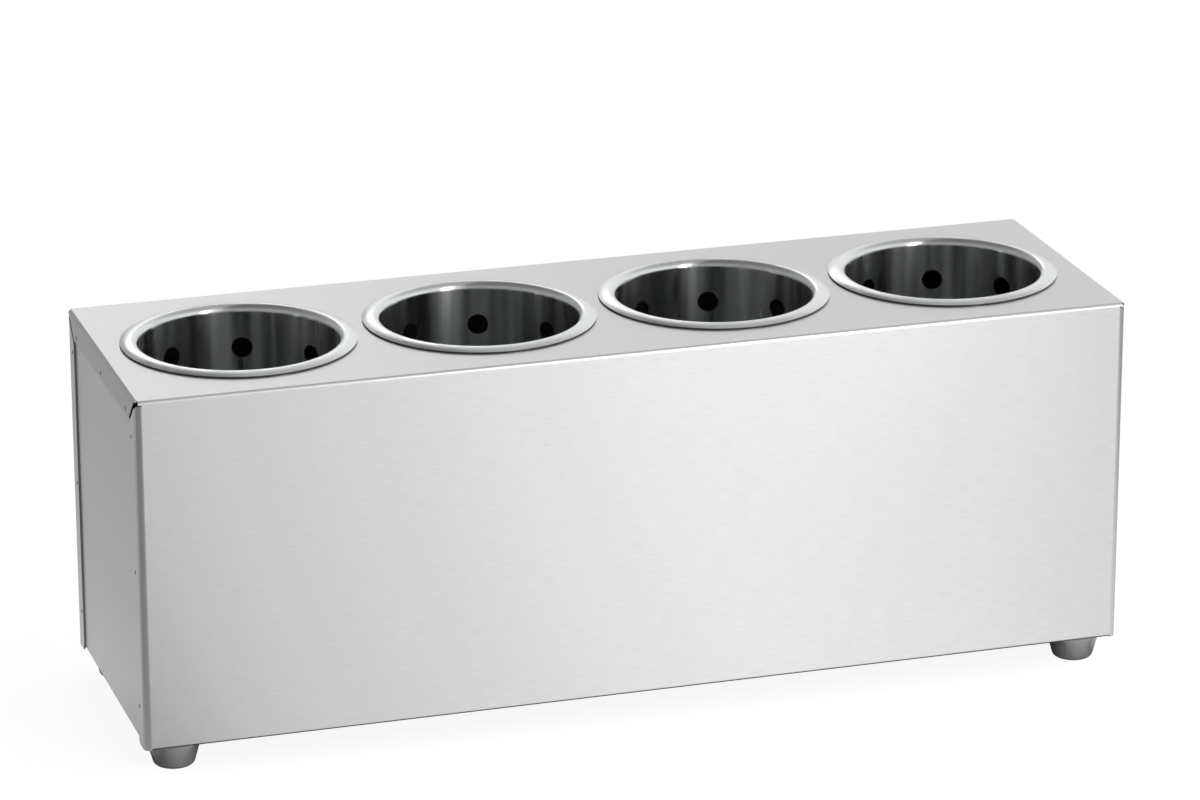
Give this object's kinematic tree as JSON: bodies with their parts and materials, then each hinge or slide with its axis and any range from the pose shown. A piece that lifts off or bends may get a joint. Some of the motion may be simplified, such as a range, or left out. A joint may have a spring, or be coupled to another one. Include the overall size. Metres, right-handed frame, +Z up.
{
  "type": "cutlery dispenser",
  "caption": "Free-standing folded steel housing on round feet, with a row of round seats that hold lift-out perforated cutlery quivers by their rims.",
  "frame": {"origin": "on the table, under the middle of the housing", "axes": "+X along the width to the viewer's right, +Y from the front to the back, +Z up"},
  "size_m": [0.5, 0.15, 0.1922],
  "materials": {
    "brushed_stainless": "brushed along the width",
    "polished_stainless": "mirror polished",
    "foot_rubber": "glossy grey thermoplastic rubber",
    "zinc_plated_steel": "bright zinc plate"
  },
  "bodies": {
    "housing": {"housing_shell": "brushed_stainless", "side_panel_left": "brushed_stainless", "side_panel_right": "brushed_stainless", "foot_front_left": "foot_rubber", "foot_front_right": "foot_rubber", "foot_rear_left": "foot_rubber", "foot_rear_right": "foot_rubber", "foot_washer_front_left": "zinc_plated_steel", "foot_washer_front_right": "zinc_plated_steel", "foot_washer_rear_left": "zinc_plated_steel", "foot_washer_rear_right": "zinc_plated_steel", "foot_screw_front_left": "zinc_plated_steel", "foot_screw_front_right": "zinc_plated_steel", "foot_screw_rear_left": "zinc_plated_steel", "foot_screw_rear_right": "zinc_plated_steel", "foot_nut_front_left": "zinc_plated_steel", "foot_nut_front_right": "zinc_plated_steel", "foot_nut_rear_left": "zinc_plated_steel", "foot_nut_rear_right": "zinc_plated_steel"},
    "quiver_1": {"quiver_1": "polished_stainless"},
    "quiver_2": {"quiver_2": "polished_stainless"},
    "quiver_3": {"quiver_3": "polished_stainless"},
    "quiver_4": {"quiver_4": "polished_stainless"}
  },
  "joints": [
    {"name": "quiver_1_lift", "type": "slide", "parent": "housing", "child": "quiver_1", "axis": [0, 0, 1], "range_m": [0, 0.15]},
    {"name": "quiver_2_lift", "type": "slide", "parent": "housing", "child": "quiver_2", "axis": [0, 0, 1], "range_m": [0, 0.15]},
    {"name": "quiver_3_lift", "type": "slide", "parent": "housing", "child": "quiver_3", "axis": [0, 0, 1], "range_m": [0, 0.15]},
    {"name": "quiver_4_lift", "type": "slide", "parent": "housing", "child": "quiver_4", "axis": [0, 0, 1], "range_m": [0, 0.15]}
  ]
}
